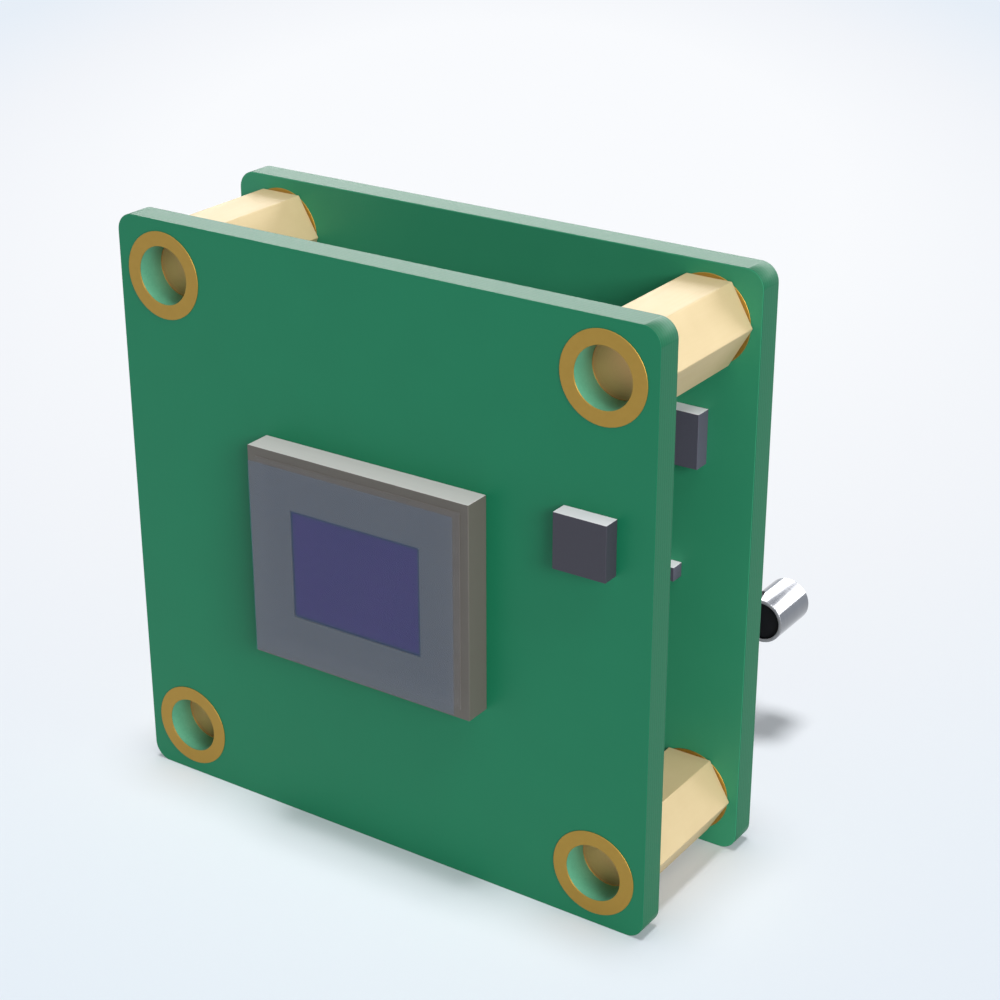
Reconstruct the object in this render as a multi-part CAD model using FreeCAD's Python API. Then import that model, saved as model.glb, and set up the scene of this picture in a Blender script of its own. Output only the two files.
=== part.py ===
import FreeCAD, Part
import math
import os

os.makedirs("parts", exist_ok=True)

# A camera module of two stacked circuit boards, in millimetres.
# The sensor looks along -Y, +X is to the right of someone who faces it, and +Z is up.
# The boards stand on their bottom edges.
# The origin is below the middle of the overall box, on the surface it stands on.

# Boards
board_side = 33.0
board_thickness = 1.6
board_corner_r = 1.0
board_gap = 8.3

# Screw holes, one near each corner, and the gold lands around them
hole_inset = 3.0
hole_d = 3.2
land_d = 4.8
land_thickness = 0.05

# Hexagonal spacers, closed at the sensor end and tapped from the rear
spacer_across_flats = 4.4
thread_core_d = 2.5
thread_depth = 6.0
drill_point_angle = 118.0

# Image sensor
package_width = 13.9
package_height = 12.0
package_depth = 1.57
pocket_width = 11.4
pocket_height = 9.4
pocket_depth = 0.9
glass_margin = 0.5
glass_thickness = 0.66
die_width = 10.6
die_height = 8.6
die_thickness = 0.82
pixel_width = 8.2
pixel_height = 6.1
pixel_thickness = 0.03
pixel_shift_x = -0.17
pixel_shift_z = -0.15

# Square chips, one on each board's front face, and a small one below the rear one.
# Each is placed by its middle, in from the board's right edge and down from its top edge.
chip_side = 3.0
chip_height = 1.0
sensor_chip_inset = 3.56
sensor_chip_drop = 11.4
interface_chip_inset = 4.25
interface_chip_drop = 9.23
small_chip_length = 1.6
small_chip_width = 0.8
small_chip_height = 0.85
small_chip_inset = 4.75
small_chip_drop = 17.0

# Plug and socket that join the boards
link_pitch = 1.27
link_per_row = 10
link_row_offset = 1.0
link_end_margin = 1.35
link_half_height = 2.2
plug_depth = 2.2
link_post = 0.5
link_post_tip_gap = 1.3
link_foot = 0.25
link_foot_reach = 3.2
leaf_thickness = 0.2
leaf_setback = 0.8
leaf_side_gap = 0.1
socket_floor = 0.6

# Shrouded plug on the rear face, and its contacts
shroud_reach = 13.34
shroud_half_width = 9.6
shroud_half_height = 3.4
shroud_edge_r = 0.4
shroud_z = 7.8
cavity_half_width = 8.2
cavity_half_height = 2.3
cavity_floor = 4.7
key_width = 3.2
key_depth = 4.0
contact_pitch = 2.0
contacts_per_row = 8
contact_row_offset = 1.0
contact_post = 0.6
contact_reach = 8.9
contact_point = 0.15
contact_foot = 0.3
contact_foot_reach = 4.6

# Lock sleeves in a cradle at each end of the shroud
sleeve_x = 11.64
sleeve_d = 2.68
sleeve_wall = 0.22
sleeve_length = 3.48
insert_recess = 0.2
insert_bore_d = 1.5
insert_bore_depth = 2.2
cradle_half_height = 2.1
cradle_lip_x = 11.45
cradle_tip_x = 10.45
cradle_shoulder = 0.86
cradle_root = 2.4
cradle_length = 2.04

# Worked out from the sizes above
sensor_stack = package_depth + glass_thickness
overall_depth = sensor_stack + 2 * board_thickness + board_gap + shroud_reach
sensor_front_y = sensor_stack - overall_depth / 2
sensor_back_y = sensor_front_y + board_thickness
interface_front_y = sensor_back_y + board_gap
interface_back_y = interface_front_y + board_thickness
shroud_end_y = interface_back_y + shroud_reach
board_mid_z = board_side / 2
hole_offset = board_side / 2 - hole_inset
spacer_length = board_gap - 2 * land_thickness
corners = [(side, level) for level in (1, -1) for side in (-1, 1)]


def save(shape, name):
    if not shape.isValid():
        raise ValueError(name + " is not a valid solid")
    shape.exportStep("parts/" + name + ".step")


def block(x0, x1, y0, y1, z0, z1):
    """A box between two limits on each axis."""
    return Part.makeBox(x1 - x0, y1 - y0, z1 - z0, FreeCAD.Vector(x0, y0, z0))


def centred_block(x, z, width, height, y0, y1):
    """A box whose middle is at x and z, from y0 back to y1."""
    return block(x - width / 2, x + width / 2, y0, y1, z - height / 2, z + height / 2)


def rod(x, z, diameter, y0, y1):
    """A round bar along Y."""
    return Part.makeCylinder(diameter / 2, y1 - y0, FreeCAD.Vector(x, y0, z), FreeCAD.Vector(0, 1, 0))


def ring(x, z, outer_d, inner_d, y0, y1):
    return rod(x, z, outer_d, y0, y1).cut(rod(x, z, inner_d, y0, y1))


def edges_along_y(shape):
    """The straight edges that run from front to back."""
    found = []
    for edge in shape.Edges:
        span = edge.BoundBox
        if span.XLength < 1e-6 and span.ZLength < 1e-6:
            found.append(edge)
    return found


def hole_place(side, level):
    """Where one screw hole is, from its side (-1 left, 1 right) and level (-1 low, 1 high)."""
    return side * hole_offset, board_mid_z + level * hole_offset


# Circuit boards
def board(y0):
    plate = centred_block(0, board_mid_z, board_side, board_side, y0, y0 + board_thickness)
    plate = plate.makeFillet(board_corner_r, edges_along_y(plate))
    for side, level in corners:
        x, z = hole_place(side, level)
        plate = plate.cut(rod(x, z, hole_d, y0, y0 + board_thickness))
    return plate


def save_lands(face_name, y0):
    """Four gold rings around the screw holes of one board face."""
    for number, (side, level) in enumerate(corners, 1):
        x, z = hole_place(side, level)
        land = ring(x, z, land_d, hole_d, y0, y0 + land_thickness)
        save(land, face_name + "_land_" + str(number))


# Spacers, with a corner of the hexagon to each side and a flat above and below
def spacer(x, z):
    front_y = sensor_back_y + land_thickness
    rear_y = front_y + spacer_length
    corner_r = spacer_across_flats / math.sqrt(3)
    points = []
    for step in range(7):
        angle = math.radians(60 * step)
        points.append(FreeCAD.Vector(x + corner_r * math.cos(angle), front_y, z + corner_r * math.sin(angle)))
    body = Part.Face(Part.makePolygon(points)).extrude(FreeCAD.Vector(0, spacer_length, 0))
    bore = rod(x, z, thread_core_d, rear_y - thread_depth, rear_y)
    tip_length = thread_core_d / 2 / math.tan(math.radians(drill_point_angle / 2))
    tip = Part.makeCone(
        thread_core_d / 2,
        0,
        tip_length,
        FreeCAD.Vector(x, rear_y - thread_depth, z),
        FreeCAD.Vector(0, -1, 0),
    )
    return body.cut(bore).cut(tip)


# Image sensor: a ceramic frame with a pocket, the die on its floor and a glass lid on its rim
def sensor_package():
    front_y = sensor_front_y - package_depth
    body = centred_block(0, board_mid_z, package_width, package_height, front_y, sensor_front_y)
    pocket = centred_block(0, board_mid_z, pocket_width, pocket_height, front_y, front_y + pocket_depth)
    return body.cut(pocket)


def sensor_die():
    floor_y = sensor_front_y - package_depth + pocket_depth
    return centred_block(0, board_mid_z, die_width, die_height, floor_y - die_thickness, floor_y)


def pixel_array():
    die_y = sensor_front_y - package_depth + pocket_depth - die_thickness
    return centred_block(
        pixel_shift_x,
        board_mid_z + pixel_shift_z,
        pixel_width,
        pixel_height,
        die_y - pixel_thickness,
        die_y,
    )


def cover_glass():
    rim_y = sensor_front_y - package_depth
    width = package_width - 2 * glass_margin
    height = package_height - 2 * glass_margin
    return centred_block(0, board_mid_z, width, height, rim_y - glass_thickness, rim_y)


# Chips, flat on a board's front face
def chip(inset, drop, width, height, depth, board_y):
    x = board_side / 2 - inset
    z = board_side - drop
    return centred_block(x, z, width, height, board_y - depth, board_y)


# Board-to-board link: posts of the plug run into leaf contacts in the socket
def link_columns():
    first = -link_pitch * (link_per_row - 1) / 2
    return [first + link_pitch * column for column in range(link_per_row)]


def link_half_width():
    return link_pitch * (link_per_row - 1) / 2 + link_end_margin


def flat_strip(x, width, y0, y1, side, inner, outer):
    """A block whose height runs outward, up or down, from the middle line of the boards."""
    low, high = sorted((side * inner, side * outer))
    return block(x - width / 2, x + width / 2, y0, y1, board_mid_z + low, board_mid_z + high)


def plug_contact(x, side):
    post_inner = link_row_offset - link_post / 2
    post_outer = link_row_offset + link_post / 2
    tip_y = interface_front_y - link_post_tip_gap
    post = flat_strip(x, link_post, sensor_back_y, tip_y, side, post_inner, post_outer)
    foot_y = sensor_back_y + link_foot
    foot = flat_strip(x, link_post, sensor_back_y, foot_y, side, post_inner, link_foot_reach)
    return post.fuse(foot).removeSplitter()


def socket_contact(x, side):
    leaf_inner = link_row_offset + link_post / 2
    leaf_outer = leaf_inner + leaf_thickness
    leaf_y = sensor_back_y + plug_depth + leaf_setback
    leaf = flat_strip(x, link_post, leaf_y, interface_front_y, side, leaf_inner, leaf_outer)
    foot_y = interface_front_y - link_foot
    foot = flat_strip(x, link_post, foot_y, interface_front_y, side, leaf_inner, link_foot_reach)
    return leaf.fuse(foot).removeSplitter()


def contact_row(make_contact, side):
    return Part.makeCompound([make_contact(x, side) for x in link_columns()])


def plug_housing(rows):
    y1 = sensor_back_y + plug_depth
    body = centred_block(0, board_mid_z, 2 * link_half_width(), 2 * link_half_height, sensor_back_y, y1)
    for row in rows:
        body = body.cut(row)
    return body


def socket_housing(rows):
    y0 = sensor_back_y + plug_depth
    floor_y = interface_front_y - socket_floor
    body = centred_block(0, board_mid_z, 2 * link_half_width(), 2 * link_half_height, y0, interface_front_y)
    well_inner = link_row_offset - link_post / 2 - leaf_side_gap
    well_outer = link_row_offset + link_post / 2 + leaf_thickness
    for side in (1, -1):
        for x in link_columns():
            well_width = link_post + 2 * leaf_side_gap
            body = body.cut(flat_strip(x, well_width, y0, floor_y, side, well_inner, well_outer))
    for row in rows:
        body = body.cut(row)
    return body


# Rear plug: a moulded shroud with two rows of contacts and a cradle at each end
def rear_contact(x, side):
    def strip(y0, y1, inner, outer):
        low, high = sorted((side * inner, side * outer))
        return block(x - contact_post / 2, x + contact_post / 2, y0, y1, shroud_z + low, shroud_z + high)

    post_inner = contact_row_offset - contact_post / 2
    post_outer = contact_row_offset + contact_post / 2
    tip_y = interface_back_y + contact_reach
    post = strip(interface_back_y, tip_y, post_inner, post_outer)
    tip_edges = [edge for edge in post.Edges if abs(edge.BoundBox.YMin - tip_y) < 1e-6]
    post = post.makeChamfer(contact_point, tip_edges)
    foot = strip(interface_back_y, interface_back_y + contact_foot, post_inner, contact_foot_reach)
    return post.fuse(foot).removeSplitter()


def rear_contacts():
    """The contacts by name: the upper row first, from left to right."""
    named = []
    first = -contact_pitch * (contacts_per_row - 1) / 2
    for row_name, side in (("upper", 1), ("lower", -1)):
        for column in range(contacts_per_row):
            name = "rear_contact_" + row_name + "_" + str(column + 1)
            named.append((name, rear_contact(first + contact_pitch * column, side)))
    return named


def cradle(side):
    """A gusset on the shroud's end, hollowed to the sleeve's round, with a shoulder before it."""
    sleeve_y = shroud_end_y - sleeve_length
    outline = [
        (shroud_half_width, sleeve_y - cradle_root),
        (cradle_lip_x, sleeve_y - cradle_shoulder),
        (cradle_lip_x, sleeve_y),
        (cradle_tip_x, sleeve_y + cradle_length),
        (shroud_half_width - shroud_edge_r, sleeve_y + cradle_length),
        (shroud_half_width - shroud_edge_r, sleeve_y - cradle_root),
        (shroud_half_width, sleeve_y - cradle_root),
    ]
    points = [FreeCAD.Vector(side * x, y, shroud_z - cradle_half_height) for x, y in outline]
    return Part.Face(Part.makePolygon(points)).extrude(FreeCAD.Vector(0, 0, 2 * cradle_half_height))


def rear_shroud(contacts):
    width = 2 * shroud_half_width
    height = 2 * shroud_half_height
    body = centred_block(0, shroud_z, width, height, interface_back_y, shroud_end_y)
    body = body.makeFillet(shroud_edge_r, edges_along_y(body))
    for side in (-1, 1):
        body = body.fuse(cradle(side))
    floor_y = interface_back_y + cavity_floor
    cavity = centred_block(0, shroud_z, 2 * cavity_half_width, 2 * cavity_half_height, floor_y, shroud_end_y)
    key_top_z = shroud_z + shroud_half_height
    key = block(-key_width / 2, key_width / 2, shroud_end_y - key_depth, shroud_end_y, shroud_z, key_top_z)
    body = body.cut(cavity).cut(key)
    for side in (-1, 1):
        sleeve_y = shroud_end_y - sleeve_length
        body = body.cut(rod(side * sleeve_x, shroud_z, sleeve_d, sleeve_y, shroud_end_y))
    for name, contact in contacts:
        body = body.cut(contact)
    return body.removeSplitter()


def lock_sleeve(side):
    inner_d = sleeve_d - 2 * sleeve_wall
    return ring(side * sleeve_x, shroud_z, sleeve_d, inner_d, shroud_end_y - sleeve_length, shroud_end_y)


def lock_insert(side):
    """A core in the sleeve, recessed at both ends, with a screw bore that opens to the rear."""
    x = side * sleeve_x
    front_y = shroud_end_y - sleeve_length + insert_recess
    rear_y = shroud_end_y - insert_recess
    core = rod(x, shroud_z, sleeve_d - 2 * sleeve_wall, front_y, rear_y)
    return core.cut(rod(x, shroud_z, insert_bore_d, rear_y - insert_bore_depth, rear_y))


save(board(sensor_front_y), "sensor_board")
save(board(interface_front_y), "interface_board")
save_lands("sensor_board_front", sensor_front_y - land_thickness)
save_lands("sensor_board_back", sensor_back_y)
save_lands("interface_board_front", interface_front_y - land_thickness)
save_lands("interface_board_back", interface_back_y)
for spacer_number, place in enumerate(corners, 1):
    save(spacer(*hole_place(*place)), "hex_spacer_" + str(spacer_number))

save(sensor_package(), "sensor_package")
save(sensor_die(), "sensor_die")
save(pixel_array(), "pixel_array")
save(cover_glass(), "cover_glass")

save(
    chip(sensor_chip_inset, sensor_chip_drop, chip_side, chip_side, chip_height, sensor_front_y),
    "sensor_board_chip",
)
save(
    chip(interface_chip_inset, interface_chip_drop, chip_side, chip_side, chip_height, interface_front_y),
    "interface_board_chip",
)
save(
    chip(
        small_chip_inset,
        small_chip_drop,
        small_chip_length,
        small_chip_width,
        small_chip_height,
        interface_front_y,
    ),
    "interface_board_small_chip",
)

plug_rows = [contact_row(plug_contact, side) for side in (1, -1)]
socket_rows = [contact_row(socket_contact, side) for side in (1, -1)]
save(plug_housing(plug_rows), "link_plug_housing")
save(socket_housing(socket_rows), "link_socket_housing")
for row_name, row in zip(("upper", "lower"), plug_rows):
    save(row, "link_plug_contacts_" + row_name)
for row_name, row in zip(("upper", "lower"), socket_rows):
    save(row, "link_socket_contacts_" + row_name)

shroud_contacts = rear_contacts()
save(rear_shroud(shroud_contacts), "rear_shroud")
for contact_name, contact in shroud_contacts:
    save(contact, contact_name)
for side_name, side in (("left", -1), ("right", 1)):
    save(lock_sleeve(side), "lock_sleeve_" + side_name)
    save(lock_insert(side), "lock_insert_" + side_name)
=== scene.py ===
import bpy
import math
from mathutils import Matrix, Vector


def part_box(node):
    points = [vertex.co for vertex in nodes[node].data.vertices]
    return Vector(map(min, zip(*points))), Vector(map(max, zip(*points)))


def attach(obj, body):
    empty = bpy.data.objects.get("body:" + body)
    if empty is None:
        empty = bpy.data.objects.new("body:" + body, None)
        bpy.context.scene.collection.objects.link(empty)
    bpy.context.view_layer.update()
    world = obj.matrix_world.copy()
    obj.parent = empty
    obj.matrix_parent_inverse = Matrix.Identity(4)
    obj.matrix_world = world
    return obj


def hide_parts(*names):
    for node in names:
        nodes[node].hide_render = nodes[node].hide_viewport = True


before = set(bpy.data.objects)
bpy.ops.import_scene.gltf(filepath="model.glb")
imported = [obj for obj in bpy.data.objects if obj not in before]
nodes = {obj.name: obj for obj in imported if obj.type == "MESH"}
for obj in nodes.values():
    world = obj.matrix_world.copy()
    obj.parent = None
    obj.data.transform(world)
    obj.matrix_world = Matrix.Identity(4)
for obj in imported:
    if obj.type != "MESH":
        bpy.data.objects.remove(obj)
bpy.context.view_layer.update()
mm = 0.001
print("frame loaded:", len(nodes), "nodes")


# Shared helpers

shaping = {
    "mergeMm": 0.001,       # corners closer than this are one
    "flatAngle": 0.5,       # degrees within one flat face
    "sharpAngle": 35,       # an edge sharper than this gets broken
    "roundAngle": 50,       # up to this, a rounded edge shades smooth
    "chamferAngle": 30,     # and up to this, a plain chamfer
    "facing": 0.9,          # a normal with more of an axis than this looks along it
}


def toLinear(hexText):
    channels = []
    for start in (1, 3, 5):
        value = int(hexText[start:start + 2], 16) / 255
        channels.append(value / 12.92 if value <= 0.04045 else ((value + 0.055) / 1.055) ** 2.4)
    return (*channels, 1.0)


def twoTones(deep, pale):
    # settings of a Mix node from the deep tone to the pale one
    return {"data_type": "RGBA", 6: toLinear(deep), 7: toLinear(pale)}


def patternScale(sizeMm):
    return 1 / (sizeMm * mm)


def bandScale(sizeMm):
    # at scale 1, a wave pattern repeats 20 / (2 pi) times in a metre
    return math.pi / 10 / (sizeMm * mm)


def addNode(tree, kind, settings=None, links=None):
    node = tree.nodes.new("ShaderNode" + kind)
    for name, value in (settings or {}).items():
        if isinstance(name, str) and hasattr(node, name):
            setattr(node, name, value)
        else:
            node.inputs[name].default_value = value
    for name, source in (links or {}).items():
        tree.links.new(source, node.inputs[name])
    return node


def newMaterial(name, look):
    # also gives the place on the piece, which every pattern here reads
    material = bpy.data.materials.new(name)
    material.use_nodes = True
    tree = material.node_tree
    shader = tree.nodes["Principled BSDF"]
    for socket, value in look.items():
        shader.inputs[socket].default_value = value
    place = addNode(tree, "TexCoord").outputs["Object"]
    return material, tree, shader, place


def connect(tree, shader, tint, rough=None, relief=None):
    for name, source in (("Base Color", tint), ("Roughness", rough), ("Normal", relief)):
        if source:
            tree.links.new(source, shader.inputs[name])


def dress(piece, *materials):
    piece.data.materials.clear()
    for material in materials:
        piece.data.materials.append(material)
    return piece


def markFaces(piece, wanted):
    # the wanted faces take the piece's second material
    for face in piece.data.polygons:
        face.material_index = 1 if wanted(face) else 0


def looksAlongY(face):
    return abs(face.normal.y) > shaping["facing"]


def looksAlongZ(face):
    return abs(face.normal.z) > shaping["facing"]


def namesWith(*parts):
    return [name for name in nodes if any(part in name for part in parts)]


def onlySelect(piece):
    bpy.ops.object.select_all(action="DESELECT")
    piece.select_set(True)
    bpy.context.view_layer.objects.active = piece


def applyModifiers(piece):
    onlySelect(piece)
    for modifier in list(piece.modifiers):
        bpy.ops.object.modifier_apply(modifier=modifier.name)


def applyPlace(piece):
    onlySelect(piece)
    bpy.ops.object.transform_apply(location=True, rotation=True, scale=True)


def pickFaces(piece, wanted):
    # in edit mode, leaves only the wanted faces selected
    bpy.ops.mesh.select_mode(type="FACE")
    bpy.ops.mesh.select_all(action="DESELECT")
    bpy.ops.object.mode_set(mode="OBJECT")
    for face in piece.data.polygons:
        face.select = wanted(face)
    bpy.ops.object.mode_set(mode="EDIT")


def settle(piece, slotName, *replaced):
    # place goes into the mesh, and the piece rides on the module
    applyPlace(piece)
    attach(piece, "root")
    if replaced:
        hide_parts(*replaced)
    return piece


def softEdges(piece, breakMm, steps=2, limit=shaping["sharpAngle"]):
    # breaks the sharp edges and keeps the flats flat; a single step stays a crisp chamfer
    bevel = piece.modifiers.new("broken edges", "BEVEL")
    bevel.width = breakMm * mm
    bevel.segments = steps
    bevel.limit_method = "ANGLE"
    bevel.angle_limit = math.radians(limit)
    applyModifiers(piece)
    smooth = shaping["roundAngle"] if steps > 1 else shaping["chamferAngle"]
    bpy.ops.object.shade_smooth_by_angle(angle=math.radians(smooth))
    weighted = piece.modifiers.new("flat faces", "WEIGHTED_NORMAL")
    weighted.keep_sharp = True
    applyModifiers(piece)
    return piece


def softCopy(nodeName, slotName, breakMm, steps=2):
    # the solid's own shape, its triangles joined to whole faces and its edges broken
    piece = bpy.data.objects.new(nodeName + "_finished", nodes[nodeName].data.copy())
    bpy.context.collection.objects.link(piece)
    onlySelect(piece)
    bpy.ops.mesh.customdata_custom_splitnormals_clear()
    bpy.ops.object.mode_set(mode="EDIT")
    bpy.ops.mesh.select_all(action="SELECT")
    bpy.ops.mesh.remove_doubles(threshold=shaping["mergeMm"] * mm)
    bpy.ops.mesh.dissolve_limited(angle_limit=math.radians(shaping["flatAngle"]))
    bpy.ops.object.mode_set(mode="OBJECT")
    softEdges(piece, breakMm, steps)
    return settle(piece, slotName, nodeName)


def blockBetween(name, low, high):
    # a start for hand modelling, never left as it is
    low, high = Vector(low), Vector(high)
    bpy.ops.object.select_all(action="DESELECT")
    bpy.ops.mesh.primitive_cube_add(size=1, location=(low + high) / 2, scale=high - low)
    piece = bpy.context.object
    piece.name = name
    applyPlace(piece)
    return piece


def movedCopy(piece, name, shift):
    copy = bpy.data.objects.new(name, piece.data.copy())
    bpy.context.collection.objects.link(copy)
    copy.location = shift
    applyPlace(copy)
    return copy


def joined(pieces, name):
    onlySelect(pieces[0])
    for piece in pieces:
        piece.select_set(True)
    bpy.ops.object.join()
    pieces[0].name = name
    return pieces[0]


# Camera, fitted to the photo's board corners

view = {
    "place": (61.816 * mm, -91.534 * mm, 65.481 * mm),
    "turn": 33.972,          # degrees from looking straight at the boards
    "tilt": 23.992,          # degrees below level
    "lens": 78.10,
    "sensor": 36.0,
    "nearest": 1 * mm,
    "farthest": 10.0,
}


def setCamera():
    bpy.ops.object.camera_add(location=view["place"])
    camera = bpy.context.object
    camera.rotation_euler = (math.radians(90 - view["tilt"]), 0, math.radians(view["turn"]))
    camera.data.lens = view["lens"]
    camera.data.sensor_width = view["sensor"]
    camera.data.clip_start = view["nearest"]
    camera.data.clip_end = view["farthest"]
    bpy.context.scene.camera = camera
    bpy.context.scene.view_settings.view_transform = "Standard"


setCamera()
print("camera set")


# Studio: a sheet of pale card, an even sky, soft boxes for the module and two suns for the floor

studio = {
    "floorHalf": 3.0,
    # along the ramp: near white behind the module, a little blue far from it
    "floorPale": (0.45, "#F3F4F6"),
    "floorMiddle": (0.72, "#ECEEF2"),
    "floorEdge": (1.0, "#E1E8F0"),
    "paleMiddle": (-75 * mm, 112 * mm, 0),  # on the floor, behind the module
    "paleRadii": (84 * mm, 166 * mm, 1.0),  # across the view and along it
    "sky": "#EBF2FB",
    "skyStrength": 0.11,
    "mirrored": 1.00,                       # what shiny metal sees beyond the floor
    "backdrop": 0.95,                       # what the camera sees there, close to the floor's tone
    "sunAngle": 14.6,                       # degrees: how soft the shadow on the floor is
}

# the floor and the module are lit apart, so that the shadow stays small and the gap bright
suns = {
    "floorSun": {"strength": 1.96, "shadow": True},
    "floorFill": {"strength": 1.08, "shadow": False},
}
lamps = {
    "topBox": {"place": (0.0, 0.0, 1.50), "aim": (0, 0, 0), "size": (2.00, 2.00), "power": 8.6},
    "gapBox": {"place": (0.90, -0.10, 1.80), "aim": (0, 0, 0.015), "size": (0.90, 0.90),
               "power": 25.0},
    "sideBox": {"place": (1.56, -0.975, 0.78), "aim": (0, 0, 0.015), "size": (1.00, 0.80),
                "power": 31.5},
    "backFill": {"place": (-0.80, 0.90, 0.60), "aim": (0, 0, 0.015), "size": (0.80, 0.60),
                 "power": 1.8},
    # seen only in gloss: the bright wall that the upper edges mirror
    "brightWall": {"place": (-0.05, 0.74, 0.33), "aim": (0, 0, 0.02), "size": (1.60, 0.32),
                   "power": 9.0, "glossOnly": True},
}


def paleCard():
    # sheet of matt card, near white behind the module and a little blue far from it
    material, tree, shader, place = newMaterial("pale card", {
        "Roughness": 0.95,
        "Specular IOR Level": 0.0,
    })
    centred = addNode(tree, "Mapping", {
        "vector_type": "TEXTURE",
        "Location": studio["paleMiddle"],
        "Rotation": (0, 0, math.radians(view["turn"])),
        "Scale": studio["paleRadii"],
    }, {"Vector": place})
    spread = addNode(tree, "VectorMath", {"operation": "LENGTH"}, {0: centred.outputs["Vector"]})
    ramp = addNode(tree, "ValToRGB", {}, {"Fac": spread.outputs["Value"]})
    stops = ramp.color_ramp.elements
    for number, (along, tone) in enumerate((studio["floorPale"], studio["floorEdge"])):
        stops[number].position = along
        stops[number].color = toLinear(tone)
    along, tone = studio["floorMiddle"]
    stops.new(along).color = toLinear(tone)
    connect(tree, shader, ramp.outputs["Color"])
    return material


def layFloor():
    bpy.ops.object.select_all(action="DESELECT")
    bpy.ops.mesh.primitive_plane_add(size=2 * studio["floorHalf"], location=(0, 0, 0))
    floor = bpy.context.object
    floor.name = "floor"
    dress(floor, paleCard())
    return floor


def hangSky():
    world = bpy.data.worlds.new("studio sky")
    bpy.context.scene.world = world
    world.use_nodes = True
    tree = world.node_tree
    sky = tree.nodes["Background"]
    sky.inputs["Color"].default_value = toLinear(studio["sky"])
    rays = addNode(tree, "LightPath")
    mirrored = addNode(tree, "MapRange", {
        "To Min": studio["skyStrength"],
        "To Max": studio["mirrored"],
    }, {"Value": rays.outputs["Is Glossy Ray"]})
    seen = addNode(tree, "MapRange", {"To Max": studio["backdrop"]}, {
        "Value": rays.outputs["Is Camera Ray"],
        "To Min": mirrored.outputs["Result"],
    })
    tree.links.new(seen.outputs["Result"], sky.inputs["Strength"])


def litGroup(part, floor, state):
    # a group that holds only the floor: a lamp lights just that, or all but that
    group = bpy.data.collections.new("lit " + part)
    group.objects.link(floor)
    group.collection_objects[0].light_linking.link_state = state
    return group


def hangLamp(name, look, lit):
    bpy.ops.object.light_add(type="AREA", location=look["place"])
    lamp = bpy.context.object
    lamp.name = name
    lamp.data.shape = "RECTANGLE"
    lamp.data.size, lamp.data.size_y = look["size"]
    lamp.data.energy = look["power"]
    aim = Vector(look["aim"]) - Vector(look["place"])
    lamp.rotation_euler = aim.to_track_quat("-Z", "Y").to_euler()
    lamp.visible_camera = False
    lamp.visible_diffuse = not look.get("glossOnly", False)
    lamp.light_linking.receiver_collection = lit


def hangSun(name, look, lit):
    bpy.ops.object.light_add(type="SUN", location=(0, 0, 1))
    sun = bpy.context.object
    sun.name = name
    sun.data.energy = look["strength"]
    sun.data.angle = math.radians(studio["sunAngle"])
    sun.data.use_shadow = look["shadow"]
    sun.light_linking.receiver_collection = lit


def lightStudio():
    floor = layFloor()
    hangSky()
    litFloor = litGroup("floor", floor, "INCLUDE")
    litModule = litGroup("module", floor, "EXCLUDE")
    for name, look in lamps.items():
        hangLamp(name, look, litModule)
    for name, look in suns.items():
        hangSun(name, look, litFloor)


lightStudio()
print("studio lit")


# Circuit boards

board = {
    # tones here and below: the deep one, then the pale one
    "mask": ("#14734F", "#177752"),
    "gapLitMask": ("#2F8763", "#338B66"),  # lighter, because the photo is drawn without shade there
    "edge": ("#0A5A3A", "#186747"),
    "wall": ("#529676", "#62A584"),
    "cloudMm": 3.0,          # how far apart the lacquer runs thick and thin
    "weaveMm": 0.45,         # thread spacing of a fine glass cloth
    "plyMm": 0.2,            # one layer of cloth in the laminate
    "tuftMm": 0.12,          # fibre bundles cut at the edge
    "drillMm": 0.16,         # the drill's feed, drawn coarser than the real one
    "tornMm": 0.15,          # fibre bundles torn by the drill
    "edgeBreakMm": 0.05,
    "broad": 0.6,            # a face with more of Y than this in its normal is lacquered
    "holeOffsetMm": 13.5,
    "middleMm": 16.5,
    "holeRadiusMm": 1.6,
    "holeSlackMm": 0.02,
}


def maskedLaminate(name, tones):
    # solder-masked glass epoxy: an even satin green lacquer, with the cloth under it just
    # telling in the gloss
    material, tree, shader, place = newMaterial(name, {"IOR": 1.5, "Specular IOR Level": 0.22})
    cloud = addNode(tree, "TexNoise", {"Scale": patternScale(board["cloudMm"]), "Detail": 5.0},
                    {"Vector": place})
    tint = addNode(tree, "Mix", twoTones(*tones), {0: cloud.outputs["Fac"]})
    waves = {"Scale": bandScale(board["weaveMm"]), "Distortion": 0.4, "Detail": 1.0}
    warp = addNode(tree, "TexWave", {"bands_direction": "X", **waves}, {"Vector": place})
    weft = addNode(tree, "TexWave", {"bands_direction": "Z", **waves}, {"Vector": place})
    cloth = addNode(tree, "Math", {"operation": "MULTIPLY"},
                    {0: warp.outputs["Fac"], 1: weft.outputs["Fac"]})
    ripple = addNode(tree, "Bump", {"Strength": 0.25, "Distance": 0.004 * mm},
                     {"Height": cloth.outputs["Value"]})
    flow = addNode(tree, "Bump", {"Strength": 0.3, "Distance": 0.01 * mm},
                   {"Height": cloud.outputs["Fac"], "Normal": ripple.outputs["Normal"]})
    satin = addNode(tree, "MapRange", {"To Min": 0.36, "To Max": 0.48},
                    {"Value": cloud.outputs["Fac"]})
    connect(tree, shader, tint.outputs[2], satin.outputs["Result"], flow.outputs["Normal"])
    return material


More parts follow.
